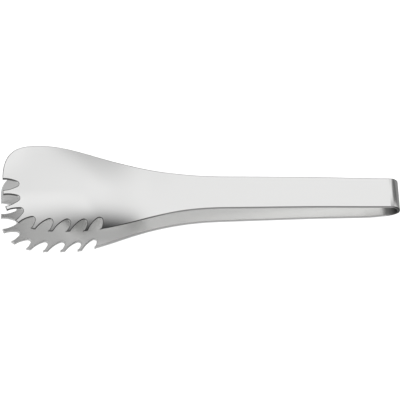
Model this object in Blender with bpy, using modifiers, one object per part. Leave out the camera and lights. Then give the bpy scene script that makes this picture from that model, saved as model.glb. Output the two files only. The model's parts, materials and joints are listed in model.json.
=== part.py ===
"""Spaghetti tongs: one strip of stainless sheet, folded into a spring bow with two arms.

Both arms come from the same flat blank. It is stamped to its outline, notched into teeth along the front
edge and round the tip, and pressed into a scoop; the lower arm is pressed the other way. The strip is cut
where it flexes, at the two ends of the bow, so that each arm turns on its own hinge there.

Metres, +Z up. The heads point along -X, the bow lies at +X, and the teeth are on the -Y side. The tongs
lie on the bow and on the back of the lower scoop, with the origin under the middle of their box.
"""

import math

import bmesh
import bpy
from mathutils import Matrix, Vector

# The whole tongs
LENGTH = 0.240  # outer face of the bow to the tips of the scoops
SHEET = 0.0017  # thickness of the strip
BOW_RADIUS = 0.0074  # outer radius of the fold
SPLAY = math.radians(1.38)  # each arm leaves the bow this much off the middle plane
BOW_WIDTH = 0.0192  # width of the strip at the bow
HINGE_GAP = 0.0003  # between the bow and each arm

# Outline of an arm; places along it are distances from its tip
FRONT_GRIP = 0.0101  # from the middle line to the front edge, where the strip starts to flare
FRONT_FLARE_START = 0.138
FRONT_FLARE_EASE = 1.3  # above 1, the strip widens late
FRONT_BELLY = 0.0254  # from the middle line to the toothed edge, at its widest
FRONT_WIDEST = 0.035
FRONT_ROUND = 2.7  # power of the curve round the tip: 2 is an ellipse, more is squarer
BACK_GRIP = 0.0106
BACK_FLARE_START = 0.1435
BACK_FLARE_EASE = 1.45
BACK_BELLY = 0.0285  # from the middle line to the plain edge, at its widest
BACK_WIDEST = 0.024
BACK_ROUND = 3.2

# Depth of a scoop; heights are measured outwards from the plane of the grip
GRIP_END = 0.108  # from here to the bow an arm is flat
SCOOP_START = 0.088
SCOOP_FULL = 0.0465
SCOOP_RISE = 0.0059  # middle line, at its highest
TIP_FALL_START = 0.044
TIP_RISE = 0.0032
FRONT_RIM_RISE = 0.0020
FRONT_RIM_START = 0.085
FRONT_RIM_FULL = 0.048
BACK_RIM_RISE = 0.0050
BACK_RIM_START = 0.070
BACK_RIM_FULL = 0.020
RIM_CURL = 0.010  # the rims meet the tip's height over this length
WAIST_DIP = 0.00035  # the edges dip inwards at the neck
WAIST_PLACE = 0.088
WAIST_LENGTH = 0.014
FRONT_DISH = (2.8, 2.0)  # power of the cross section at the heel and at the tip: more is flatter in the middle
BACK_DISH = (2.0, 3.6)
DISH_CHANGE = (0.060, 0.032)

# Teeth
TOOTH_PITCH = 0.0101  # along the edge
TOOTH_WIDTH = 0.0023  # at the tip of a tooth
HEEL_NOTCH = 0.055  # heel end of the row, from the tip of the scoop
NOTCHES = (  # from the heel round to the tip: edge to centre of the root, and how far it leans to the heel
    (0.0040, 0.0043),
    (0.0043, 0.0044),
    (0.0048, 0.0047),
    (0.0051, 0.0040),
    (0.0047, 0.0025),
    (0.0057, 0.0012),
    (0.0071, 0.0),
    (0.0074, 0.0),
)
ROOT_RADIUS = 0.0018
FLANK_BULGE = 0.0009  # how far a notch swells out between its mouth and its root

# Fineness of the solids
BOW_STEPS = 24
PLATE_CELL = 0.0038
OUTLINE_STEP = 0.0028
EDGE_POINTS = 200  # for measuring along the toothed edge
ROOT_POINTS = 9
ROOT_TURN = math.radians(65)
FLANK_POINTS = 4
PROBE = SHEET / 10  # step for measuring the slope of the pressed sheet
WELD = 0.00008
TRIM = 0.001  # cutters and plate reach past each other by this
DIE_HEIGHT = 3 * SHEET
PUNCH_HEIGHT = 4 * SHEET

MID_RADIUS = BOW_RADIUS - SHEET / 2
BEND = math.pi / 2 - SPLAY  # each half of the bow turns through this
ARM_LENGTH = (LENGTH - BOW_RADIUS + (MID_RADIUS + TIP_RISE) * math.sin(SPLAY)) / math.cos(SPLAY)
STEEL = (0.74, 0.74, 0.73, 1.0)
STEEL_ROUGHNESS = 0.32
SHARP_ANGLE = math.radians(30)


def ease(share):
    """Slow start and slow end between 0 and 1."""
    share = min(max(share, 0.0), 1.0)
    return share * share * (3 - 2 * share)


def half_width(from_tip, grip, start, late, belly, widest, roundness):
    """Middle line to one edge of the blank."""
    if from_tip <= widest:
        inside = 1 - (1 - max(from_tip, 0.0) / widest) ** roundness
        return belly * inside ** (1 / roundness)
    taper = min(max((from_tip - start) / (ARM_LENGTH - start), 0.0), 1.0)
    strip = grip + (BOW_WIDTH / 2 - grip) * taper
    flare = min(max((start - from_tip) / (start - widest), 0.0), 1.0)
    return strip + (belly - grip) * ease(flare ** late)


def front_half(from_tip):
    flare = (FRONT_GRIP, FRONT_FLARE_START, FRONT_FLARE_EASE)
    return half_width(from_tip, *flare, FRONT_BELLY, FRONT_WIDEST, FRONT_ROUND)


def back_half(from_tip):
    flare = (BACK_GRIP, BACK_FLARE_START, BACK_FLARE_EASE)
    return half_width(from_tip, *flare, BACK_BELLY, BACK_WIDEST, BACK_ROUND)


def middle_rise(from_tip):
    """Height of a scoop's middle line over the plane of the grip."""
    up = SCOOP_RISE * ease((SCOOP_START - from_tip) / (SCOOP_START - SCOOP_FULL))
    fall = max(1 - from_tip / TIP_FALL_START, 0.0)
    return up - (SCOOP_RISE - TIP_RISE) * fall ** 2


def rim_rise(from_tip, level, start, full):
    """Height of a scoop's edge over the plane of the grip."""
    up = level * ease((start - from_tip) / (start - full))
    dip = WAIST_DIP * math.exp(-(((from_tip - WAIST_PLACE) / WAIST_LENGTH) ** 2))
    curl = max(1 - from_tip / RIM_CURL, 0.0)
    return up - dip * ease((GRIP_END - from_tip) / WAIST_LENGTH) + (TIP_RISE - level) * curl ** 2


def rise(along, across):
    """Height of the pressed sheet at a place on the arm, where along runs from the hinge to the tip."""
    from_tip = max(ARM_LENGTH - along, PROBE)
    if across < 0:
        half = front_half(from_tip)
        rim = rim_rise(from_tip, FRONT_RIM_RISE, FRONT_RIM_START, FRONT_RIM_FULL)
        heel_dish, tip_dish = FRONT_DISH
    else:
        half = back_half(from_tip)
        rim = rim_rise(from_tip, BACK_RIM_RISE, BACK_RIM_START, BACK_RIM_FULL)
        heel_dish, tip_dish = BACK_DISH
    heel_share = ease((from_tip - DISH_CHANGE[1]) / (DISH_CHANGE[0] - DISH_CHANGE[1]))
    dish = tip_dish + (heel_dish - tip_dish) * heel_share
    middle = middle_rise(from_tip)
    return middle - (middle - rim) * (abs(across) / half) ** dish


def pressed(point, side):
    """Where a point of the flat blank lies once the arm is pressed: side is 1 for up, -1 for down."""
    along, across, through = -point.x, point.y, point.z
    height = side * rise(along, across)
    slope_along = side * (rise(along + PROBE, across) - rise(along - PROBE, across)) / (2 * PROBE)
    slope_across = side * (rise(along, across + PROBE) - rise(along, across - PROBE)) / (2 * PROBE)
    normal = Vector((slope_along, -slope_across, 1)).normalized()
    return Vector((-along, across, height)) + through * normal


def edge_places():
    """Distances from the tip at which the outline is drawn, closer together round the tip."""
    count = math.ceil(BACK_FLARE_START / OUTLINE_STEP)
    return [BACK_FLARE_START * (1 - math.cos(math.pi / 2 * i / count)) for i in range(1, count + 1)]


def blank_outline():
    """Outline of a flat blank, from the hinge along the front, round the tip and back."""
    places = edge_places()
    hinge = ARM_LENGTH - HINGE_GAP / 2
    front = [(s, -front_half(s)) for s in [hinge] + places[::-1]]
    back = [(s, back_half(s)) for s in places + [hinge]]
    return [(s - ARM_LENGTH, y) for s, y in front + [(0.0, 0.0)] + back]


def toothed_edge():
    """Fine points of the edge from the heel of the teeth, round the tip, to the plain edge."""
    shares = [i / EDGE_POINTS for i in range(EDGE_POINTS + 1)]
    side = [HEEL_NOTCH + (FRONT_WIDEST - HEEL_NOTCH) * share for share in shares]
    turn = [math.pi / 2 * share for share in shares]
    points = [(s, -front_half(s)) for s in side]
    for angle in turn:
        s = FRONT_WIDEST * (1 - math.sin(angle) ** (2 / FRONT_ROUND))
        points.append((s, -FRONT_BELLY * math.cos(angle) ** (2 / FRONT_ROUND)))
    for angle in turn[::-1]:
        s = BACK_WIDEST * (1 - math.sin(angle) ** (2 / BACK_ROUND))
        points.append((s, BACK_BELLY * math.cos(angle) ** (2 / BACK_ROUND)))
    return [Vector((s - ARM_LENGTH, y)) for s, y in points]


def walk(points, distance):
    """The point that lies a distance along a run of points."""
    for a, b in zip(points, points[1:]):
        step = (b - a).length
        if distance <= step:
            return a.lerp(b, distance / step) if step else a
        distance -= step
    return points[-1]


def bulged(start, end, swell, count):
    """A shallow curve from start towards end that swells to one side."""
    control = (start + end) / 2 + swell
    shares = [i / count for i in range(count)]
    return [(1 - t) ** 2 * start + 2 * t * (1 - t) * control + t ** 2 * end for t in shares]


def notch_outline(edge, number):
    """One notch: a mouth on the edge, two flanks and a round root."""
    heel = walk(edge, number * TOOTH_PITCH)
    tip = walk(edge, (number + 1) * TOOTH_PITCH - TOOTH_WIDTH)
    tangent = (tip - heel).normalized()
    inward = Vector((tangent.y, -tangent.x))
    depth, lean = NOTCHES[number]
    into = depth * inward - lean * tangent
    root = (heel + tip) / 2 + into
    axis = into.normalized()
    aside = Vector((-axis.y, axis.x))
    swell = FLANK_BULGE * aside
    turns = [ROOT_TURN * (2 * i / (ROOT_POINTS - 1) - 1) for i in range(ROOT_POINTS)]
    arc = [root + ROOT_RADIUS * (math.cos(a) * axis + math.sin(a) * aside) for a in turns]
    clear = -TRIM * inward
    heel_flank = bulged(heel, arc[0], -swell, FLANK_POINTS)
    tip_flank = bulged(tip, arc[-1], swell, FLANK_POINTS)
    return [heel + clear] + heel_flank + arc + tip_flank[::-1] + [tip + clear]


def flat_curve(name, outline, thickness, collection):
    """A closed flat outline with a thickness, made a mesh."""
    curve = bpy.data.curves.new(name, "CURVE")
    curve.dimensions = "2D"
    curve.fill_mode = "BOTH"
    curve.extrude = thickness / 2
    spline = curve.splines.new("POLY")
    spline.points.add(len(outline) - 1)
    for point, (x, y) in zip(spline.points, outline):
        point.co = (x, y, 0, 1)
    spline.use_cyclic_u = True
    drawn = bpy.data.objects.new(name + "_curve", curve)
    collection.objects.link(drawn)
    mesh = as_mesh(drawn, name)
    bpy.data.objects.remove(drawn)
    bpy.data.curves.remove(curve)
    return mesh


def as_mesh(thing, name):
    """The evaluated shape of an object as a mesh of its own, with its seams welded."""
    depsgraph = bpy.context.evaluated_depsgraph_get()
    mesh = bpy.data.meshes.new_from_object(thing.evaluated_get(depsgraph))
    mesh.name = name
    body = bmesh.new()
    body.from_mesh(mesh)
    bmesh.ops.remove_doubles(body, verts=body.verts, dist=WELD)
    bmesh.ops.recalc_face_normals(body, faces=body.faces)
    body.to_mesh(mesh)
    body.free()
    return mesh


def add_cutter(name, meshes, collection):
    """One hidden cutter made of separate solids."""
    joined = bmesh.new()
    for mesh in meshes:
        joined.from_mesh(mesh)
        bpy.data.meshes.remove(mesh)
    mesh = bpy.data.meshes.new(name)
    joined.to_mesh(mesh)
    joined.free()
    cutter = bpy.data.objects.new(name, mesh)
    cutter.hide_render = True
    cutter.display_type = "WIRE"
    collection.objects.link(cutter)
    return cutter


def cut(thing, name, cutter, operation):
    """Boolean of an object with a cutter."""
    boolean = thing.modifiers.new(name, "BOOLEAN")
    boolean.solver = "EXACT"
    boolean.operation = operation
    boolean.object = cutter


def plate(collection):
    """The sheet that the blank is stamped from: one long cell for the grip, small cells for the scoop."""
    scoop = GRIP_END + TRIM
    rows = math.ceil(scoop / PLATE_CELL)
    columns = math.ceil((FRONT_BELLY + BACK_BELLY + 2 * TRIM) / PLATE_CELL)
    body = bmesh.new()
    bmesh.ops.create_grid(body, x_segments=rows + 1, y_segments=columns, size=0.5)
    for vert in body.verts:
        row = round((vert.co.x + 0.5) * (rows + 1))
        across = vert.co.y + 0.5
        x = TRIM if row > rows else -ARM_LENGTH - TRIM + scoop * row / rows
        vert.co.x = x
        vert.co.y = -FRONT_BELLY - TRIM + (FRONT_BELLY + BACK_BELLY + 2 * TRIM) * across
    mesh = bpy.data.meshes.new("plate")
    body.to_mesh(mesh)
    body.free()
    sheet = bpy.data.objects.new("plate", mesh)
    collection.objects.link(sheet)
    solid = sheet.modifiers.new("thickness", "SOLIDIFY")
    solid.thickness = SHEET
    solid.offset = 0
    return sheet


def stamped_blank(cutters):
    """The flat blank of an arm, cut to its outline and notched."""
    sheet = plate(cutters)
    die = add_cutter("outline_die", [flat_curve("die", blank_outline(), DIE_HEIGHT, cutters)], cutters)
    edge = toothed_edge()
    outlines = [notch_outline(edge, number) for number in range(len(NOTCHES))]
    punches = [flat_curve("punch", outline, PUNCH_HEIGHT, cutters) for outline in outlines]
    punch = add_cutter("notch_punch", punches, cutters)
    cut(sheet, "outline", die, "INTERSECT")
    cut(sheet, "teeth", punch, "DIFFERENCE")
    mesh = as_mesh(sheet, "blank")
    bpy.data.objects.remove(sheet)
    return mesh


def steel(name):
    """Satin stainless steel."""
    material = bpy.data.materials.new(name)
    material.use_nodes = True
    surface = material.node_tree.nodes["Principled BSDF"]
    surface.inputs["Base Color"].default_value = STEEL
    surface.inputs["Metallic"].default_value = 1.0
    surface.inputs["Roughness"].default_value = STEEL_ROUGHNESS
    material.diffuse_color = STEEL
    return material


def shade(mesh):
    """Smooth faces with sharp edges along the rim of the sheet."""
    mesh.shade_smooth()
    mesh.set_sharp_from_angle(angle=SHARP_ANGLE)


def arm(name, side, blank, parent, collection):
    """One arm with its scoop, pressed from the blank; its origin is on the hinge."""
    mesh = blank.copy()
    mesh.name = name
    for vert in mesh.vertices:
        vert.co = pressed(vert.co, side)
    shade(mesh)
    mesh.materials.append(steel(name + "_steel"))
    thing = bpy.data.objects.new(name, mesh)
    collection.objects.link(thing)
    thing.parent = parent
    thing.location = (MID_RADIUS * math.sin(SPLAY), 0, side * MID_RADIUS * math.cos(SPLAY))
    thing.rotation_euler = (0, side * SPLAY, 0)
    return thing


def spring_bow(parent, collection):
    """The folded end: the strip's width turned about the middle of the fold."""
    gap = HINGE_GAP / 2 / MID_RADIUS
    turn = 2 * (BEND - gap)
    mesh = bpy.data.meshes.new("spring_bow")
    start = Matrix.Rotation(turn / 2, 3, "Y") @ Vector((MID_RADIUS, 0, 0))
    across = Vector((0, BOW_WIDTH / 2, 0))
    mesh.from_pydata([start - across, start + across], [(0, 1)], [])
    bow = bpy.data.objects.new("spring_bow", mesh)
    collection.objects.link(bow)
    bow.parent = parent
    screw = bow.modifiers.new("fold", "SCREW")
    screw.axis = "Y"
    screw.angle = -turn
    screw.steps = BOW_STEPS
    screw.render_steps = BOW_STEPS
    screw.use_smooth_shade = True
    solid = bow.modifiers.new("thickness", "SOLIDIFY")
    solid.thickness = SHEET
    solid.offset = 0
    mesh.materials.append(steel("spring_bow_steel"))
    return bow


def corners(things):
    """All points of some objects, in the world."""
    bpy.context.view_layer.update()
    depsgraph = bpy.context.evaluated_depsgraph_get()
    points = []
    for thing in things:
        shape = thing.evaluated_get(depsgraph)
        points += [shape.matrix_world @ vert.co for vert in shape.data.vertices]
    return points


def lie_down(frame, things):
    """Tip the tongs until the bow and the lower scoop touch the ground, with the origin below their middle."""
    tilts = []
    for point in corners(things):
        reach = math.hypot(point.x, point.z)
        if point.z < 0 and reach > 2 * BOW_RADIUS:
            tilts.append(math.atan2(-point.z, -point.x) - math.asin(BOW_RADIUS / reach))
    frame.rotation_euler = (0, max(tilts), 0)
    points = corners(things)
    for axis in range(2):
        low = min(point[axis] for point in points)
        high = max(point[axis] for point in points)
        frame.location[axis] = -(low + high) / 2
    frame.location.z = -min(point.z for point in points)


def build():
    for thing in list(bpy.data.objects):
        bpy.data.objects.remove(thing)
    tongs = bpy.data.collections.new("spaghetti_tongs")
    cutters = bpy.data.collections.new("cutters")
    bpy.context.scene.collection.children.link(tongs)
    bpy.context.scene.collection.children.link(cutters)
    frame = bpy.data.objects.new("tongs_frame", None)
    tongs.objects.link(frame)
    blank = stamped_blank(cutters)
    pieces = [
        spring_bow(frame, tongs),
        arm("upper_arm", 1, blank, frame, tongs),
        arm("lower_arm", -1, blank, frame, tongs),
    ]
    lie_down(frame, pieces)
    bpy.context.view_layer.update()


build()
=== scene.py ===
"""Spaghetti tongs in satin stainless steel: the look of the folded strip, around its fixed frame.

The strip is rebuilt as three fine sheets that meet without a gap. The bow is a strip wound round a fold by
a node tree. The two arms are one flat blank with teeth, rounded along its edge and pressed into a scoop.
Metres, +Z up, heads towards -X, front towards -Y.
"""

import json
import math

import bmesh
import bpy
import numpy as np
from mathutils import Euler, Matrix, Vector
from mathutils.geometry import delaunay_2d_cdt


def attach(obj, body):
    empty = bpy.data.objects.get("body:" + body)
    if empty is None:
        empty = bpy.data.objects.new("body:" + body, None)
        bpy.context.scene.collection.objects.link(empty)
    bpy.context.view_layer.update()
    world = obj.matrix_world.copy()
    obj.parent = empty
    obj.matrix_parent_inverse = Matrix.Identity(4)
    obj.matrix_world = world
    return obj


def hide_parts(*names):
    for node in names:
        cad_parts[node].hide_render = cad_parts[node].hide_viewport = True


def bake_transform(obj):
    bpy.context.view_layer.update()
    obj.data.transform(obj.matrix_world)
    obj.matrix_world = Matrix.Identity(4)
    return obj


# The strip
LENGTH = 0.240
SHEET = 0.0017
BOW_RADIUS = 0.0074
SPLAY = math.radians(1.38)
BOW_WIDTH = 0.0192
SEAM = 0.00015  # the bow runs this far past each hinge, where the arm begins
EDGE_RADIUS = 0.0003  # the cut edges are tumbled round

# How the bent strip is a little untrue; each length says how far into the arms the fault reaches
FOLD_SKEW = 0.070  # the fold's back end stands further out than its front end, by this slope
FOLD_SHIFT = 0.0001  # and all of it stands out by this
SKEW_LENGTH = 0.030
FOLD_SWEEP = 0.0006  # the fold stands this much further to the front than the grips
SWEEP_LENGTH = 0.055
FOLD_LIFT = 0.0022  # the fold's lower half is flatter by this, and the lower arm rises towards it
LIFT_LENGTH = 0.012
HEAD_SKEW = 0.05  # slope by which the lower head is out of square, about a place in front of the middle line
HEAD_SKEW_PLACE = 0.010
HEAD_SKEW_REACH = (0.100, 0.170)  # from the fold's middle: where it starts and where it is full
HEAD_SKEW_BACK = (0.006, 0.018)  # behind the middle line: where it starts to fade and where it is gone

# Outline of an arm; places along it are distances from its tip
FRONT_GRIP = 0.0101
FRONT_FLARE_START = 0.138
FRONT_FLARE_FULL = 0.042
FRONT_FLARE_EASE = 1.45
FRONT_BELLY = 0.0254
FRONT_WIDEST = 0.035
FRONT_ROUND = 2.7
BACK_GRIP = 0.0106
BACK_FLARE_START = 0.1435
BACK_FLARE_FULL = 0.024
BACK_FLARE_EASE = 1.45
BACK_BELLY = 0.0285
BACK_WIDEST = 0.024
BACK_ROUND = 3.2

# Depth of a scoop over the plane of the grip
GRIP_END = 0.108  # from here to the bow an arm is flat
SCOOP_START = 0.088
SCOOP_FULL = 0.0465
SCOOP_RISE = 0.0059
TIP_FALL_START = 0.044
TIP_RISE = 0.0032
FRONT_RIM = (0.0020, 0.078, 0.048)  # height, and where it starts and is full
BACK_RIM = (0.0050, 0.070, 0.020)
RIM_CURL = 0.010
WAIST_DIP = 0.00035
WAIST_PLACE = 0.088
WAIST_LENGTH = 0.014
FRONT_DISH = (2.8, 2.0)  # power of the cross section at the heel and at the tip
BACK_DISH = (2.0, 3.6)
DISH_CHANGE = (0.060, 0.032)

# Teeth
TOOTH_PITCH = 0.0101
TOOTH_WIDTH = 0.0029
HEEL_NOTCH = 0.0547
NOTCHES = (  # from the heel round to the tip: depth to the centre of the root, and lean towards the heel
    (0.0046, 0.0043),
    (0.0048, 0.0044),
    (0.0051, 0.0047),
    (0.0053, 0.0040),
    (0.0047, 0.0025),
    (0.0057, 0.0012),
    (0.0071, 0.0),
    (0.0074, 0.0),
)
ROOT_RADIUS = 0.0018
ROOT_TURN = math.radians(65)  # the round of a root, to each side of its axis
FLANK_BULGE = 0.0009
TOOTH_CORNER = 0.0004  # the corners of the teeth are worn round

# Fineness of the sheets
BOW_POINTS = 97
FACE_CELL = 0.0009
CELL_CLEARANCE = 0.6 * FACE_CELL  # cells keep this far from the outline
EDGE_STEP = 0.0008
EDGE_STEPS = 3  # round the edge radius
EDGE_SAMPLES = 401  # for measuring along the toothed edge
ROOT_POINTS = 15
FLANK_POINTS = 9
CORNER_POINTS = 4
CORNER_REACH = 0.98  # a corner's round stops just short of the next point
TOOTH_TIP_POINTS = 5
GUARD = 0.00015  # the flat faces stop this far inside the rounded edge
PROBE = SHEET / 10  # step for measuring the slope of the pressed sheet
MERGE = 1e-7  # points nearer to each other than this become one
MERGE_FLAT = 1e-9  # the same, while the flat blank is cut into triangles
EDGE_FACING = 0.2  # bow faces that look sideways by more than this are its cut edge
SHARP_ANGLE = math.radians(50)

# Finishes, with painted light and shade. Most pairs say where a change of tone starts and where it is full.
# Places along the strip run from -0.12 at the tips to 0.12 at the fold; across it they are negative in front
FACE_COLOUR = (0.91, 0.91, 0.905)
FACE_ROUGHNESS = 0.18
FACE_GRAIN = (0.00012, 120)  # width of the grain, and its length in widths
# Painted shade: the upper arm's cut edge is darker than the lower arm's, though both arms are cut from one
# blank
UPPER_EDGE_PAINTED_SHADE_COLOUR = (0.50, 0.50, 0.495)
LOWER_EDGE_COLOUR = (0.90, 0.90, 0.895)
BOW_EDGE_COLOUR = (0.72, 0.72, 0.715)
CUT_ROUGHNESS = 0.30
TUMBLED_ROUGHNESS = 0.55
EDGE_GRAIN = (0.0002, 2)
BROAD_WIDER = 5  # times the fine grain
BROAD_LONGER = 3
CLOUD_SIZE = (0.02, 0.03)
GRAIN_SHINE = (0.10, 0.06, 0.04)  # how far fine grain, broad grain and clouds change the roughness
GRAIN_TONE = 0.03
FINE_SHARE = 0.7  # of the grain's height, the rest is broad grain
NOISE_ROUGHNESS = 0.6
GRAIN_BUMP = 0.12
GRAIN_HEIGHT = 0.00004
# Painted light: the inner faces are painted brighter towards the bow
INNER_PAINTED_LIGHT = (-0.03, 0.08)
INNER_TONES = (0.99, 1.09)  # away from the bow, and near it
# Painted shade on the inner faces inside the fold
FOLD_INSIDE = (0.1085, 0.1185)
FOLD_INSIDE_SHADE_TONE = 0.05
FOLD_ROUGHER = (0.1080, 0.1150)
FOLD_ROUGHNESS = 0.30  # more than that of the faces
# Painted shade on the inner faces near the tips, in the back half of the scoops
SCOOP_BACK = (-0.095, -0.109)
SCOOP_BACK_ACROSS = (0.0065, 0.0105)
SCOOP_BACK_PAINTED_SHADE = 0.38
# Painted shade on the outer faces round the fold
FOLD_OUTSIDE = (0.1155, 0.1175)
FOLD_OUTSIDE_SHADE_TONE = 0.80
# Painted shade on the upper cut edge round the teeth
TEETH = (-0.018, -0.048)
TEETH_ACROSS = (0.0235, 0.0195)
TEETH_PAINTED_SHADE = 0.76
# Painted highlight on the upper cut edge's flanks that face the tip
LIT_FLANK_REACH = (-0.045, -0.060)
LIT_FLANK_FACING = (-0.25, -0.65)  # -1 faces the tip
LIT_FLANK_TONE = 1.8
# Painted shade on the bow's cut edge round the fold
FOLD_EDGE = (0.1110, 0.1170)
FOLD_EDGE_SHADE_TONE = 0.12

# Light. Most pairs say where a change starts and where it is full, in one part of the direction looked at:
# x towards the bow, y towards the back or z up
FLOOR_RADIUS = 6.0
FLOOR_SEGMENTS = 96
FLOOR_DROP = 0.0002
FLOOR_WHITE = 0.9
FLOOR_ROUGHNESS = 0.9
FLOOR_GLOW = 0.80
HORIZON = (-0.15, 0.05)
BEHIND = (-0.30, 0.50)
BEHIND_LIGHT = (0.014, 1.05)  # in front, and how much more there is behind
BEHIND_HEADS = 0.9  # beyond the heads counts as behind by this share
HIGH_LIGHT = (0.42, 0.40)  # at the horizon, and how much more there is at the top
OVERHEAD = (0.87, 1.0)
OVERHEAD_LIGHT = 0.36
BOW_SIDE_LIGHT = 0.64
HEADS_SIDE_LIGHT = 0.86
BESIDE_BOW = ((0.58, 0.74), (0.08, 0.26), (0.72, 0.54))  # in x, y and z
BESIDE_BOW_DARKER = 0.75
FRONT_FILL = ((-0.30, -0.60), (0.85, 0.60))  # in y and z
FRONT_FILL_LIGHT = 0.60
END_FILL = ((0.74, 0.92), (0.26, -0.04))  # in x and y
END_FILL_LIGHT = 0.50
GROUND_LIGHT = (0.33, 0.175)  # beyond the bow, and how much more there is towards the heads
GROUND_HEADS = (0.43, 0.10)
GROUND_BELOW = (-0.84, -1.0)

# The camera, from the middle of the fold
SENSOR_WIDTH = 36.0
LENS = 156.94
CLIP = (0.05, 30.0)
CAMERA_PLACE = (-0.3010, -0.4547, 0.9131)
CAMERA_TURN = (26.990, -8.805, -5.522)  # degrees about x, y and z, in that order

MID_RADIUS = BOW_RADIUS - SHEET / 2
ARM_LENGTH = (LENGTH - BOW_RADIUS + (MID_RADIUS + TIP_RISE) * math.sin(SPLAY)) / math.cos(SPLAY)


class Term:
    """A socket of a node tree; arithmetic on it adds Math nodes."""

    def __init__(self, web, socket):
        self.web = web
        self.socket = socket

    def math(self, operation, *others):
        return self.web.node("ShaderNodeMath", {"operation": operation}, (self, *others))

    def __add__(self, other):
        return self.math("ADD", other)

    def __sub__(self, other):
        return self.math("SUBTRACT", other)

    def __mul__(self, other):
        return self.math("MULTIPLY", other)

    def __truediv__(self, other):
        return self.math("DIVIDE", other)

    def __rsub__(self, other):
        return self.web.node("ShaderNodeMath", {"operation": "SUBTRACT"}, (other, self))

    __radd__ = __add__
    __rmul__ = __mul__


class Web:
    """A node tree that nodes are added to, one call each."""

    def __init__(self, tree):
        self.tree = tree

    def node(self, kind, settings=None, values=(), output=0):
        """Adds a node and gives one of its outputs; values are numbers or outputs of other nodes."""
        made = self.tree.nodes.new(kind)
        for name, value in (settings or {}).items():
            setattr(made, name, value)
        pairs = values.items() if isinstance(values, dict) else enumerate(values)
        for place, value in pairs:
            if isinstance(value, Term):
                self.tree.links.new(value.socket, made.inputs[place])
            else:
                made.inputs[place].default_value = value
        return Term(self, made.outputs[output]) if made.outputs else made

    def range(self, value, low, high, to_low=0.0, to_high=1.0):
        """A smooth change from one result to another while a value goes from low to high."""
        values = {"Value": value, "From Min": low, "From Max": high, "To Min": to_low, "To Max": to_high}
        return self.node("ShaderNodeMapRange", {"interpolation_type": "SMOOTHSTEP"}, values)


def ease(share):
    """Slow start and slow end between 0 and 1."""
    share = np.clip(share, 0, 1)
    return share * share * (3 - 2 * share)


def half_width(from_tip, grip, start, full, late, belly, widest, roundness):
    """Middle line to one edge of the blank, before the teeth are cut."""
    near = np.clip(from_tip, 0, widest) / widest
    tip = belly * (1 - (1 - near) ** roundness) ** (1 / roundness)
    taper = np.clip((from_tip - start) / (ARM_LENGTH - start), 0, 1)
    strip = grip + (BOW_WIDTH / 2 - grip) * taper
    flare = np.clip((start - from_tip) / (start - full), 0, 1)
    flared = strip + (belly - grip) * ease(flare ** late)
    return np.where(from_tip <= widest, tip, flared)


def front_half(from_tip):
    """Middle line to the front edge, the one with the teeth."""
    flare = (FRONT_GRIP, FRONT_FLARE_START, FRONT_FLARE_FULL, FRONT_FLARE_EASE)
    return half_width(from_tip, *flare, FRONT_BELLY, FRONT_WIDEST, FRONT_ROUND)


def back_half(from_tip):
    """Middle line to the back edge."""
    flare = (BACK_GRIP, BACK_FLARE_START, BACK_FLARE_FULL, BACK_FLARE_EASE)
    return half_width(from_tip, *flare, BACK_BELLY, BACK_WIDEST, BACK_ROUND)


def rim_rise(from_tip, level, start, full):
    """Height of a scoop's edge over the plane of the grip."""
    dip = WAIST_DIP * np.exp(-(((from_tip - WAIST_PLACE) / WAIST_LENGTH) ** 2))
    dip = dip * ease((GRIP_END - from_tip) / WAIST_LENGTH)
    curl = np.clip(1 - from_tip / RIM_CURL, 0, 1)
    return level * ease((start - from_tip) / (start - full)) - dip + (TIP_RISE - level) * curl ** 2


def rise(along, across):
    """Height of the pressed sheet at a place on the arm, where along runs from the hinge to the tip."""
    from_tip = np.maximum(ARM_LENGTH - along, PROBE)
    front = across < 0
    half = np.where(front, front_half(from_tip), back_half(from_tip))
    rim = np.where(front, rim_rise(from_tip, *FRONT_RIM), rim_rise(from_tip, *BACK_RIM))
    fall = np.clip(1 - from_tip / TIP_FALL_START, 0, 1)
    middle = SCOOP_RISE * ease((SCOOP_START - from_tip) / (SCOOP_START - SCOOP_FULL))
    middle = middle - (SCOOP_RISE - TIP_RISE) * fall ** 2
    heel_share = ease((from_tip - DISH_CHANGE[1]) / (DISH_CHANGE[0] - DISH_CHANGE[1]))
    heel_dish, tip_dish = (np.where(front, *pair) for pair in zip(FRONT_DISH, BACK_DISH))
    dish = tip_dish + (heel_dish - tip_dish) * heel_share
    return middle - (middle - rim) * (np.abs(across) / half) ** dish


def pressed(points, side):
    """Where points of the flat blank lie once the arm is pressed: side is 1 for up, -1 for down."""
    along, across, through = -points[:, 0], points[:, 1], points[:, 2]
    slope_along = side * (rise(along + PROBE, across) - rise(along - PROBE, across)) / (2 * PROBE)
    slope_across = side * (rise(along, across + PROBE) - rise(along, across - PROBE)) / (2 * PROBE)
    normal = np.stack([slope_along, -slope_across, np.ones_like(along)], axis=1)
    normal /= np.linalg.norm(normal, axis=1)[:, None]
    place = np.stack([-along, across, side * rise(along, across)], axis=1)
    return place + through[:, None] * normal


def toothed_edge():
    """Fine points of the edge from the heel of the teeth, round the tip, to the plain edge's widest place."""
    shares = np.linspace(0, 1, EDGE_SAMPLES)
    side = HEEL_NOTCH + (FRONT_WIDEST - HEEL_NOTCH) * shares[:-1]
    turn = math.pi / 2 * shares
    front = FRONT_WIDEST * (1 - np.sin(turn) ** (2 / FRONT_ROUND))
    back = BACK_WIDEST * (1 - np.sin(turn) ** (2 / BACK_ROUND))
    from_tip = np.concatenate([side, front, back[-2::-1]])
    across = np.concatenate([
        -front_half(side),
        -FRONT_BELLY * np.clip(np.cos(turn), 0, 1) ** (2 / FRONT_ROUND),
        BACK_BELLY * np.clip(np.cos(turn[-2::-1]), 0, 1) ** (2 / BACK_ROUND),
    ])
    return np.stack([from_tip - ARM_LENGTH, across], axis=1)


def curved(start, control_start, control_end, end, count):
    """Points of a curve after its start and up to its end."""
    t = np.linspace(0, 1, count + 1)[1:, None]
    return ((1 - t) ** 3 * start + 3 * t * (1 - t) ** 2 * control_start
            + 3 * t * t * (1 - t) * control_end + t ** 3 * end)


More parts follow.
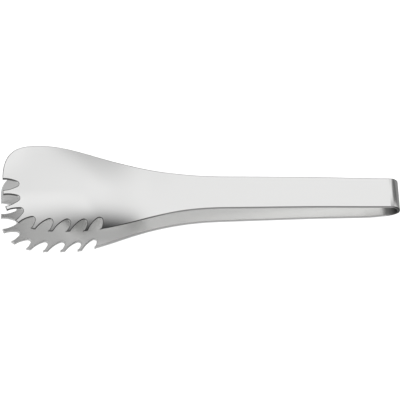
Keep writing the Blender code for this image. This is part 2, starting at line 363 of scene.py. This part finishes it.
def notch(heel, tip, depth, lean):
    """Points of one notch between its two corners: two flanks and a round root."""
    tangent = (tip - heel) / np.linalg.norm(tip - heel)
    inward = np.array([tangent[1], -tangent[0]])
    into = depth * inward - lean * tangent
    root = (heel + tip) / 2 + into
    axis = into / np.linalg.norm(into)
    aside = np.array([-axis[1], axis[0]])
    angles = ROOT_TURN * np.linspace(-1, 1, ROOT_POINTS)
    arc = root + ROOT_RADIUS * (np.outer(np.cos(angles), axis) + np.outer(np.sin(angles), aside))

    def flank(corner, end, sign):
        """From a corner to an end of the root: a swell at the corner that joins the root smoothly."""
        reach = np.linalg.norm(end - corner) / 3
        swell = corner + (end - corner) / 3 + sign * FLANK_BULGE * aside
        turn = sign * ROOT_TURN
        run = math.sin(turn) * axis - math.cos(turn) * aside
        join = end + sign * reach * run
        if np.dot(join - end, corner - end) < 0:
            join = end - sign * reach * run
        return curved(corner, swell, join, end, FLANK_POINTS)

    heel_flank = flank(heel, arc[0], -1)
    tip_flank = flank(tip, arc[-1], 1)
    return np.concatenate([heel_flank, arc[1:-1], tip_flank[::-1]])


def blank_outline():
    """Outline of the blank, from the hinge round the teeth and back, and which of its points are corners."""
    edge = toothed_edge()
    lengths = np.concatenate([[0], np.cumsum(np.linalg.norm(np.diff(edge, axis=0), axis=1))])

    def at(distance):
        """The place on the toothed edge at a distance from the heel."""
        return np.stack([np.interp(distance, lengths, column) for column in edge.T], axis=-1)

    hinge = ARM_LENGTH - SEAM
    count = round((hinge - HEEL_NOTCH) / EDGE_STEP)
    places = np.linspace(hinge, HEEL_NOTCH, count + 1)[:-1]
    run = [np.stack([places - ARM_LENGTH, -front_half(places)], axis=1)]
    corners = []
    made = len(run[0])
    for number, (depth, lean) in enumerate(NOTCHES):
        heel = at(number * TOOTH_PITCH)
        tip = at((number + 1) * TOOTH_PITCH - TOOTH_WIDTH)
        pieces = [heel[None], notch(heel, tip, depth, lean), tip[None]]
        corners += [made, made + 1 + len(pieces[1])]
        if number < len(NOTCHES) - 1:
            flat = np.linspace(TOOTH_CORNER, TOOTH_WIDTH - TOOTH_CORNER, TOOTH_TIP_POINTS)[1:-1]
            pieces.append(at((number + 1) * TOOTH_PITCH - TOOTH_WIDTH + flat))
        run += pieces
        made += sum(len(piece) for piece in pieces)
    start = len(NOTCHES) * TOOTH_PITCH - TOOTH_WIDTH + 2 * TOOTH_CORNER
    count = round((lengths[-1] - start) / EDGE_STEP)
    run.append(at(np.linspace(start, lengths[-1], count + 1)))
    count = round((hinge - BACK_WIDEST) / EDGE_STEP)
    places = np.linspace(BACK_WIDEST, hinge, count + 1)[1:]
    run.append(np.stack([places - ARM_LENGTH, back_half(places)], axis=1))
    return np.concatenate(run), set(corners)


def rounded(points, corners):
    """The outline with its corners worn round."""
    made = []
    for i, point in enumerate(points):
        if i not in corners:
            made.append(point)
            continue
        before, after = points[i - 1] - point, points[i + 1] - point
        start = point + before * min(1, TOOTH_CORNER / np.linalg.norm(before)) * CORNER_REACH
        end = point + after * min(1, TOOTH_CORNER / np.linalg.norm(after)) * CORNER_REACH
        made.append(start)
        made += list(curved(start, (start + 2 * point) / 3, (end + 2 * point) / 3, end, CORNER_POINTS))
    return np.array(made)


def outward(points):
    """Unit normals of the outline, square to the strip at its two ends."""
    step = np.gradient(points, axis=0)
    normals = np.stack([-step[:, 1], step[:, 0]], axis=1)
    normals /= np.linalg.norm(normals, axis=1)[:, None]
    normals[0], normals[-1] = (0, -1), (0, 1)
    return normals


def inside_cells(loop):
    """Grid points that lie well inside a closed outline."""
    low, high = loop.min(0), loop.max(0)
    xs = np.arange(low[0], high[0], FACE_CELL)
    ys = np.arange(low[1], high[1], FACE_CELL)
    grid = np.stack(np.meshgrid(xs, ys, indexing="ij"), axis=-1)
    grid[::2, :, 1] += FACE_CELL / 2
    grid = grid.reshape(-1, 2)
    x, y = grid.T
    crossings = np.zeros(len(grid), int)
    nearest = np.full(len(grid), np.inf)
    for a, b in zip(loop, np.roll(loop, -1, axis=0)):
        spans = (a[1] > y) != (b[1] > y)
        if a[1] != b[1]:
            crossings += spans & (x < a[0] + (y - a[1]) * (b[0] - a[0]) / (b[1] - a[1]))
        edge = b - a
        share = np.clip(((grid - a) @ edge) / (edge @ edge), 0, 1)
        nearest = np.minimum(nearest, np.linalg.norm(grid - a - share[:, None] * edge, axis=1))
    return grid[(crossings % 2 == 1) & (nearest > CELL_CLEARANCE)]


def blank_sheet():
    """The flat blank: points (x, y, through), its two faces, the rounded edge and the cut at the hinge."""
    points = rounded(*blank_outline())
    normals = outward(points)
    half = SHEET / 2
    count = len(points)
    angles = [math.pi / 2 * i / EDGE_STEPS for i in range(EDGE_STEPS + 1)]
    insets = [EDGE_RADIUS + GUARD] + [EDGE_RADIUS * (1 - math.sin(angle)) for angle in angles]
    levels = [half] + [half - EDGE_RADIUS * (1 - math.cos(angle)) for angle in angles]
    rings = [(points - inset * normals, level) for inset, level in zip(insets, levels)]
    rings += [(ring, -level) for ring, level in rings[::-1]]

    rim = rings[0][0]
    cut_count = round((rim[-1][1] - rim[0][1]) / FACE_CELL)
    cut = rim[-1] + (rim[0] - rim[-1]) * (np.arange(1, cut_count) / cut_count)[:, None]
    loop = np.concatenate([rim, cut])
    flat = np.concatenate([loop, inside_cells(loop)])
    edges = [(i, (i + 1) % len(loop)) for i in range(len(loop))]
    outline = list(range(len(loop)))
    inside_only = 1
    found = delaunay_2d_cdt([Vector(p) for p in flat], edges, [outline], inside_only, MERGE_FLAT)
    found_points, _, triangles, origins, _, _ = found
    face_points = np.array([tuple(p) for p in found_points])
    first = {source: new for new, sources in enumerate(origins) for source in sources}
    top_loop = [first[i] for i in range(len(loop))]

    size = len(face_points)
    verts = [np.column_stack([face_points, np.full(size, level)]) for level in (half, -half)]
    faces = [list(t) for t in triangles] + [[size + v for v in t][::-1] for t in triangles]
    columns = [top_loop[:count]]
    made = 2 * size
    for ring, level in rings[1:-1]:
        verts.append(np.column_stack([ring, np.full(count, level)]))
        columns.append(list(range(made, made + count)))
        made += count
    columns.append([size + v for v in top_loop[:count]])
    edge_faces = []
    for upper, lower in zip(columns, columns[1:]):
        for i in range(count - 1):
            edge_faces.append([upper[i], upper[i + 1], lower[i + 1], lower[i]])
    top_cut = top_loop[count:]
    cap = top_cut + [column[0] for column in columns]
    cap += [size + v for v in top_cut[::-1]] + [column[-1] for column in columns[::-1]]
    return np.concatenate(verts), faces, edge_faces, cap


def arm_mesh(name, side, blank, turn, hinge):
    """One pressed arm, in its place; its materials are the outer face, the cut edge and the inner face."""
    points, faces, edge_faces, cap = blank
    places = pressed(points, side)
    mesh = bpy.data.meshes.new(name)
    mesh.from_pydata(places.tolist(), [], faces + edge_faces + [cap])
    mesh.transform(Matrix.Translation(hinge) @ Matrix.Rotation(turn, 4, "Y"))
    outer_finish, edge_finish, inner_finish = 0, 1, 2
    marks = np.full(len(mesh.polygons), outer_finish, np.int32)
    marks[len(faces):len(faces) + len(edge_faces)] = edge_finish
    inner = slice(0, len(faces) // 2) if side < 0 else slice(len(faces) // 2, len(faces))
    marks[inner] = inner_finish
    mesh.polygons.foreach_set("material_index", marks)
    return mesh


def folded_strip():
    """Node tree that winds a strip round a fold, with a very short straight leg at each end."""
    tree = bpy.data.node_groups.new("folded_strip", "GeometryNodeTree")
    measures = ("Mid radius", "Turn", "Leg", "Width", "Thickness", "Edge radius")
    finishes = ("Outer face", "Cut edge", "Inner face")
    for name in measures:
        tree.interface.new_socket(name=name, in_out="INPUT", socket_type="NodeSocketFloat")
    for name in finishes:
        tree.interface.new_socket(name=name, in_out="INPUT", socket_type="NodeSocketMaterial")
    tree.interface.new_socket(name="Strip", in_out="OUTPUT", socket_type="NodeSocketGeometry")
    web = Web(tree)
    given = {name: web.node("NodeGroupInput", output=name) for name in measures + finishes}
    radius, turn, leg, width, thickness, edge_radius = [given[name] for name in measures]
    outer_finish, edge_finish, inner_finish = [given[name] for name in finishes]

    line = web.node("GeometryNodeCurvePrimitiveLine", None, {"Start": (-1, 0, 0), "End": (1, 0, 0)})
    path = web.node("GeometryNodeResampleCurve", None, {"Curve": line, "Count": BOW_POINTS})
    place = web.node("GeometryNodeInputPosition")
    run = web.node("ShaderNodeSeparateXYZ", None, (place,)) * (radius * turn + leg)
    angle = (run / radius).math("MINIMUM", turn).math("MAXIMUM", turn * -1)
    past_fold = run - angle * radius
    sine = angle.math("SINE")
    cosine = angle.math("COSINE")
    outwards = radius * cosine - past_fold * sine
    upwards = radius * sine + past_fold * cosine
    wound = web.node("ShaderNodeCombineXYZ", None, (outwards, upwards, 0.0))
    path = web.node("GeometryNodeSetPosition", None, {"Geometry": path, "Position": wound})
    path = web.node("GeometryNodeSetCurveNormal", {"mode": "Z_UP"}, {"Curve": path})

    section = web.node("GeometryNodeCurvePrimitiveQuadrilateral", None, {"Width": thickness, "Height": width})
    section = web.node("GeometryNodeFilletCurve", {"mode": "POLY"},
                       {"Curve": section, "Count": EDGE_STEPS - 1, "Radius": edge_radius})
    strip = web.node("GeometryNodeCurveToMesh", None,
                     {"Curve": path, "Profile Curve": section, "Fill Caps": True})
    strip = web.node("GeometryNodeTransform", None, {"Geometry": strip, "Rotation": (math.pi / 2, 0, 0)})
    strip = web.node("GeometryNodeRealizeInstances", None, (strip,))
    normal = web.node("GeometryNodeInputNormal")
    sideways = web.node("ShaderNodeSeparateXYZ", None, (normal,), "Y").math("ABSOLUTE")
    place = web.node("GeometryNodeInputPosition")
    facing_out = web.node("ShaderNodeVectorMath", {"operation": "DOT_PRODUCT"}, (place, normal), "Value")
    on_inside = facing_out.math("LESS_THAN", 0.0)
    on_edge = sideways.math("GREATER_THAN", EDGE_FACING)
    for chosen, finish in ((True, outer_finish), (on_inside, inner_finish), (on_edge, edge_finish)):
        painted = {"Geometry": strip, "Selection": chosen, "Material": finish}
        strip = web.node("GeometryNodeSetMaterial", None, painted)
    web.node("NodeGroupOutput", None, {"Strip": strip})
    return tree


def bow_mesh(name, materials, strip_matrix):
    """The bow, wound by the node tree and laid in its place."""
    tree = folded_strip()
    holder = bpy.data.objects.new(name + "_strip", bpy.data.meshes.new(name + "_strip"))
    bpy.context.scene.collection.objects.link(holder)
    nodes = holder.modifiers.new("fold", "NODES")
    nodes.node_group = tree
    given = {
        "Mid radius": MID_RADIUS,
        "Turn": math.pi / 2 - SPLAY,
        "Leg": SEAM,
        "Width": BOW_WIDTH,
        "Thickness": SHEET,
        "Edge radius": EDGE_RADIUS,
        "Outer face": materials[0],
        "Cut edge": materials[1],
        "Inner face": materials[2],
    }
    for item in tree.interface.items_tree:
        if item.in_out == "INPUT":
            nodes[item.identifier] = given[item.name]
    evaluated = holder.evaluated_get(bpy.context.evaluated_depsgraph_get())
    mesh = bpy.data.meshes.new_from_object(evaluated)
    bpy.data.objects.remove(holder)
    mesh.name = name
    mesh.transform(strip_matrix)
    return mesh


def skewed(mesh, strip_matrix, head_skew):
    """Makes a sheet as untrue as the strip: the fold's skew, sweep and flatter half, and a head's skew."""
    points = np.empty(len(mesh.vertices) * 3)
    mesh.vertices.foreach_get("co", points)
    points = points.reshape(-1, 3)
    to_strip = np.array(strip_matrix.inverted())
    along, across, height = (points @ to_strip[:3, :3].T + to_strip[:3, 3]).T
    push = (FOLD_SHIFT + FOLD_SKEW * across) * ease(1 + along / SKEW_LENGTH)
    start, full = HEAD_SKEW_REACH
    fade, gone = HEAD_SKEW_BACK
    head_push = head_skew * (across + HEAD_SKEW_PLACE) * (1 - ease((across - fade) / (gone - fade)))
    push += head_push * ease((-along - start) / (full - start))
    sweep = -FOLD_SWEEP * ease(1 + along / SWEEP_LENGTH)
    underneath = np.clip(-height / np.hypot(np.maximum(along, 0), height), 0, 1)
    lift = FOLD_LIFT * underneath * ease((along + LIFT_LENGTH) / (BOW_RADIUS + LIFT_LENGTH))
    moves = np.stack([push, sweep, lift], axis=1)
    points += moves @ np.array(strip_matrix.to_3x3()).T
    mesh.vertices.foreach_set("co", points.ravel())


def sheet_piece(name, mesh, node, strip_matrix, head_skew=0.0):
    """A finished sheet, as untrue as the real strip, that stands for one node of the frame."""
    skewed(mesh, strip_matrix, head_skew)
    body = bmesh.new()
    body.from_mesh(mesh)
    bmesh.ops.remove_doubles(body, verts=body.verts, dist=MERGE)
    bmesh.ops.recalc_face_normals(body, faces=body.faces)
    body.to_mesh(mesh)
    body.free()
    mesh.shade_smooth()
    mesh.set_sharp_from_angle(angle=SHARP_ANGLE)
    piece = bpy.data.objects.new(name, mesh)
    bpy.context.scene.collection.objects.link(piece)
    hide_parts(node)
    return piece


def along_strip(web):
    """Where a spot of the surface lies along the strip."""
    place = web.node("ShaderNodeTexCoord", output="Object")
    return web.node("ShaderNodeSeparateXYZ", None, (place,), "X")


def across_strip(web):
    """Where a spot of the surface lies across the strip."""
    place = web.node("ShaderNodeTexCoord", output="Object")
    return web.node("ShaderNodeSeparateXYZ", None, (place,), "Y")


def facing_bow(web):
    """How far the surface faces the bow, from 1 down to -1, which faces the tip."""
    normal = web.node("ShaderNodeTexCoord", output="Normal")
    return web.node("ShaderNodeSeparateXYZ", None, (normal,), "X")


def inner_painted_light_and_shade(web):
    """Painted light on the inner faces near the bow; painted shade inside the fold and in the scoops' back
    half.
    """
    along = along_strip(web)
    near_bow = web.range(along, *INNER_PAINTED_LIGHT, *INNER_TONES)
    fold = web.range(along, *FOLD_INSIDE, 1.0, FOLD_INSIDE_SHADE_TONE)
    scoop_back = web.range(along, *SCOOP_BACK) * web.range(across_strip(web), *SCOOP_BACK_ACROSS)
    return near_bow * fold * (1 - SCOOP_BACK_PAINTED_SHADE * scoop_back)


def outer_painted_shade(web):
    """Painted shade: the outer faces are a little darker round the fold."""
    return web.range(along_strip(web), *FOLD_OUTSIDE, 1.0, FOLD_OUTSIDE_SHADE_TONE)


def upper_edge_painted_light_and_shade(web):
    """Painted shade on the cut edge round the teeth, and a painted highlight on the flanks that face the tip.
    """
    along = along_strip(web)
    on_teeth = web.range(along, *TEETH) * web.range(across_strip(web), *TEETH_ACROSS)
    lit_flanks = web.range(facing_bow(web), *LIT_FLANK_FACING) * web.range(along, *LIT_FLANK_REACH)
    return (1 - TEETH_PAINTED_SHADE * on_teeth) * (1 - lit_flanks) + LIT_FLANK_TONE * lit_flanks


def fold_edge_painted_shade(web):
    """Painted shade: the cut edge is darkened round the fold."""
    return web.range(along_strip(web), *FOLD_EDGE, 1.0, FOLD_EDGE_SHADE_TONE)


def steel(name, colour, roughness, grain, painted_light_and_shade=None, rough_fold=False):
    """Steel with a fine grain along the strip. A function of painted light and shade changes its tone from
    place to place.
    """
    material = bpy.data.materials.new(name)
    material.use_nodes = True
    tree = material.node_tree
    tree.nodes.clear()
    web = Web(tree)
    place = web.node("ShaderNodeTexCoord", output="Object")

    def drawn(width, length, detail, start):
        """Noise that is drawn out along the strip, taken from its own start."""
        spot = web.node("ShaderNodeMapping", None, {
            "Vector": place,
            "Location": (start, start, start),
            "Scale": (1 / length, 1 / width, 1 / length),
        })
        look = {"Vector": spot, "Scale": 1.0, "Detail": detail, "Roughness": NOISE_ROUGHNESS}
        return web.node("ShaderNodeTexNoise", None, look)

    width, stretch = grain
    fine = drawn(width, width * stretch, detail=2.0, start=0.3)
    broad = drawn(width * BROAD_WIDER, width * stretch * BROAD_LONGER, detail=3.0, start=7.1)
    cloud = drawn(*CLOUD_SIZE, detail=2.0, start=3.7)
    fine_shine, broad_shine, cloud_shine = GRAIN_SHINE
    shine = roughness + (fine - 0.5) * fine_shine + (broad - 0.5) * broad_shine + (cloud - 0.5) * cloud_shine
    if rough_fold:
        shine = shine + web.range(along_strip(web), *FOLD_ROUGHER, 0.0, FOLD_ROUGHNESS)
    tone = (1 - GRAIN_TONE) + broad * GRAIN_TONE + fine * GRAIN_TONE
    if painted_light_and_shade:
        tone = tone * painted_light_and_shade(web)
    colour_a, colour_b, colour_result = 6, 7, 2  # the node has three sockets of each of these names
    tint = web.node("ShaderNodeMix", {"data_type": "RGBA", "blend_type": "MULTIPLY"}, {
        "Factor": 1.0,
        colour_a: (*colour, 1.0),
        colour_b: web.node("ShaderNodeCombineColor", None, (tone, tone, tone)),
    }, colour_result)
    height = fine * FINE_SHARE + broad * (1 - FINE_SHARE)
    bump = web.node("ShaderNodeBump", None,
                    {"Strength": GRAIN_BUMP, "Distance": GRAIN_HEIGHT, "Height": height})
    surface = web.node("ShaderNodeBsdfPrincipled", None, {
        "Base Color": tint,
        "Metallic": 1.0,
        "Roughness": shine,
        "Normal": bump,
    })
    web.node("ShaderNodeOutputMaterial", None, {"Surface": surface})
    return material


def white_floor():
    """A plain pale floor just under the tongs, which they do not mirror."""
    floor_mesh = bpy.data.meshes.new("floor")
    body = bmesh.new()
    bmesh.ops.create_circle(body, cap_ends=True, segments=FLOOR_SEGMENTS, radius=FLOOR_RADIUS)
    body.to_mesh(floor_mesh)
    body.free()
    floor = bpy.data.objects.new("floor", floor_mesh)
    floor.location.z = -FLOOR_DROP
    bpy.context.scene.collection.objects.link(floor)
    paint = bpy.data.materials.new("floor_white")
    paint.use_nodes = True
    surface = paint.node_tree.nodes["Principled BSDF"]
    surface.inputs["Base Color"].default_value = (FLOOR_WHITE, FLOOR_WHITE, FLOOR_WHITE, 1)
    surface.inputs["Roughness"].default_value = FLOOR_ROUGHNESS
    surface.inputs["Emission Color"].default_value = (1, 1, 1, 1)
    surface.inputs["Emission Strength"].default_value = FLOOR_GLOW
    floor_mesh.materials.append(paint)
    floor.visible_glossy = False


def soft_dome():
    """Light from all round: bright behind and past the heads, dim in front and beside the bow, two fills."""
    world = bpy.data.worlds.new("soft_dome")
    world.use_nodes = True
    bpy.context.scene.world = world
    tree = world.node_tree
    tree.nodes.clear()
    web = Web(tree)
    direction = web.node("ShaderNodeTexCoord", output="Generated")
    x, y, z = [web.node("ShaderNodeSeparateXYZ", None, (direction,), axis) for axis in "XYZ"]
    past_heads = (x * -1).math("MAXIMUM", 0.0)
    front_light, behind_light = BEHIND_LIGHT
    behind = front_light + behind_light * web.range(y + BEHIND_HEADS * past_heads, *BEHIND)
    horizon_light, top_light = HIGH_LIGHT
    high = horizon_light + top_light * z * z
    overhead = 1 + OVERHEAD_LIGHT * web.range(z, *OVERHEAD)
    aside = 1 + BOW_SIDE_LIGHT * x + HEADS_SIDE_LIGHT * past_heads
    towards_bow, bow_back, bow_low = BESIDE_BOW
    beside_bow = web.range(x, *towards_bow) * web.range(y, *bow_back) * web.range(z, *bow_low)
    fill_front, fill_low = FRONT_FILL
    front_fill = FRONT_FILL_LIGHT * web.range(y, *fill_front) * web.range(z, *fill_low)
    past_bow, end_front = END_FILL
    end_fill = END_FILL_LIGHT * web.range(x, *past_bow) * web.range(y, *end_front)
    dome = behind * high * overhead * aside * (1 - BESIDE_BOW_DARKER * beside_bow) + front_fill + end_fill
    bow_light, heads_light = GROUND_LIGHT
    ground = (bow_light + heads_light * web.range(x, *GROUND_HEADS)) * (1 + web.range(z, *GROUND_BELOW))
    up = web.range(z, *HORIZON)
    light = dome * up + ground * (1 - up)
    background = web.node("ShaderNodeBackground", None, {
        "Color": web.node("ShaderNodeCombineColor", None, (light, light, light)),
        "Strength": 1.0,
    })
    web.node("ShaderNodeOutputWorld", None, {"Surface": background})


def photo_camera(strip_matrix):
    """The camera at the photograph's place: high up, in front of the heads."""
    data = bpy.data.cameras.new("camera")
    data.sensor_width = SENSOR_WIDTH
    data.lens = LENS
    data.clip_start, data.clip_end = CLIP
    camera = bpy.data.objects.new("camera", data)
    bpy.context.scene.collection.objects.link(camera)
    aim = Euler([math.radians(angle) for angle in CAMERA_TURN]).to_matrix().to_4x4()
    camera.matrix_world = strip_matrix @ Matrix.Translation(CAMERA_PLACE) @ aim
    bpy.context.scene.camera = camera


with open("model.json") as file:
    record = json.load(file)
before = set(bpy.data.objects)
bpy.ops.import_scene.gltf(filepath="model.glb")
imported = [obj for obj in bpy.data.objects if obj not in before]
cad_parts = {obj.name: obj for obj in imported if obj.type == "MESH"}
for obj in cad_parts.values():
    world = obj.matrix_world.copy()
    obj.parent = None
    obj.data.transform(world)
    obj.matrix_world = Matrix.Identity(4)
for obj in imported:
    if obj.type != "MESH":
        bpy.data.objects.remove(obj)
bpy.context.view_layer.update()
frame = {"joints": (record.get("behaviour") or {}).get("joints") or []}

hinges = {joint["child"]: Vector(joint["pos_m"]) for joint in frame["joints"]}
across_bow = hinges["upper"] - hinges["lower"]
tilt = math.atan2(across_bow.x, across_bow.z)
lean = Matrix.Rotation(tilt, 4, "Y")
middle = (hinges["upper"] + hinges["lower"]) / 2 - lean @ Vector((MID_RADIUS * math.sin(SPLAY), 0, 0))
strip_matrix = Matrix.Translation(middle) @ lean

# Outer faces: painted shade round the fold
face_steel = steel("satin_steel", FACE_COLOUR, FACE_ROUGHNESS, FACE_GRAIN, outer_painted_shade)
# Upper arm's cut edge: painted shade, with a painted highlight on the flanks that face the tip
upper_edge = steel("upper_cut_edge_painted_light_and_shade", UPPER_EDGE_PAINTED_SHADE_COLOUR, CUT_ROUGHNESS, EDGE_GRAIN, upper_edge_painted_light_and_shade)
lower_edge = steel("tumbled_edge", LOWER_EDGE_COLOUR, TUMBLED_ROUGHNESS, EDGE_GRAIN)
# Bow's cut edge: painted shade round the fold
bow_edge = steel("bent_edge", BOW_EDGE_COLOUR, CUT_ROUGHNESS, EDGE_GRAIN, fold_edge_painted_shade)
# Inner faces: painted light near the bow, painted shade in the fold and the scoops' back halves
inner_steel = steel("inner_satin_steel", FACE_COLOUR, FACE_ROUGHNESS, FACE_GRAIN, inner_painted_light_and_shade,
                    rough_fold=True)

bow_finishes = (face_steel, bow_edge, inner_steel)
bow = sheet_piece("bow_fold", bow_mesh("bow_fold", bow_finishes, strip_matrix), "spring_bow", strip_matrix)
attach(bow, "bow")

blank = blank_sheet()
arms = (
    ("upper_blade", "upper_arm", "upper", 1, upper_edge, 0.0),
    ("lower_blade", "lower_arm", "lower", -1, lower_edge, HEAD_SKEW),
)
for name, node, body, side, edge_steel, head_skew in arms:
    turn = tilt + side * SPLAY
    mesh = arm_mesh(name, side, blank, turn, hinges[body])
    for finish in (face_steel, edge_steel, inner_steel):
        mesh.materials.append(finish)
    blade = sheet_piece(name, mesh, node, strip_matrix, head_skew)
    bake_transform(blade)

white_floor()
soft_dome()
photo_camera(strip_matrix)
bpy.context.scene.view_settings.view_transform = "Standard"
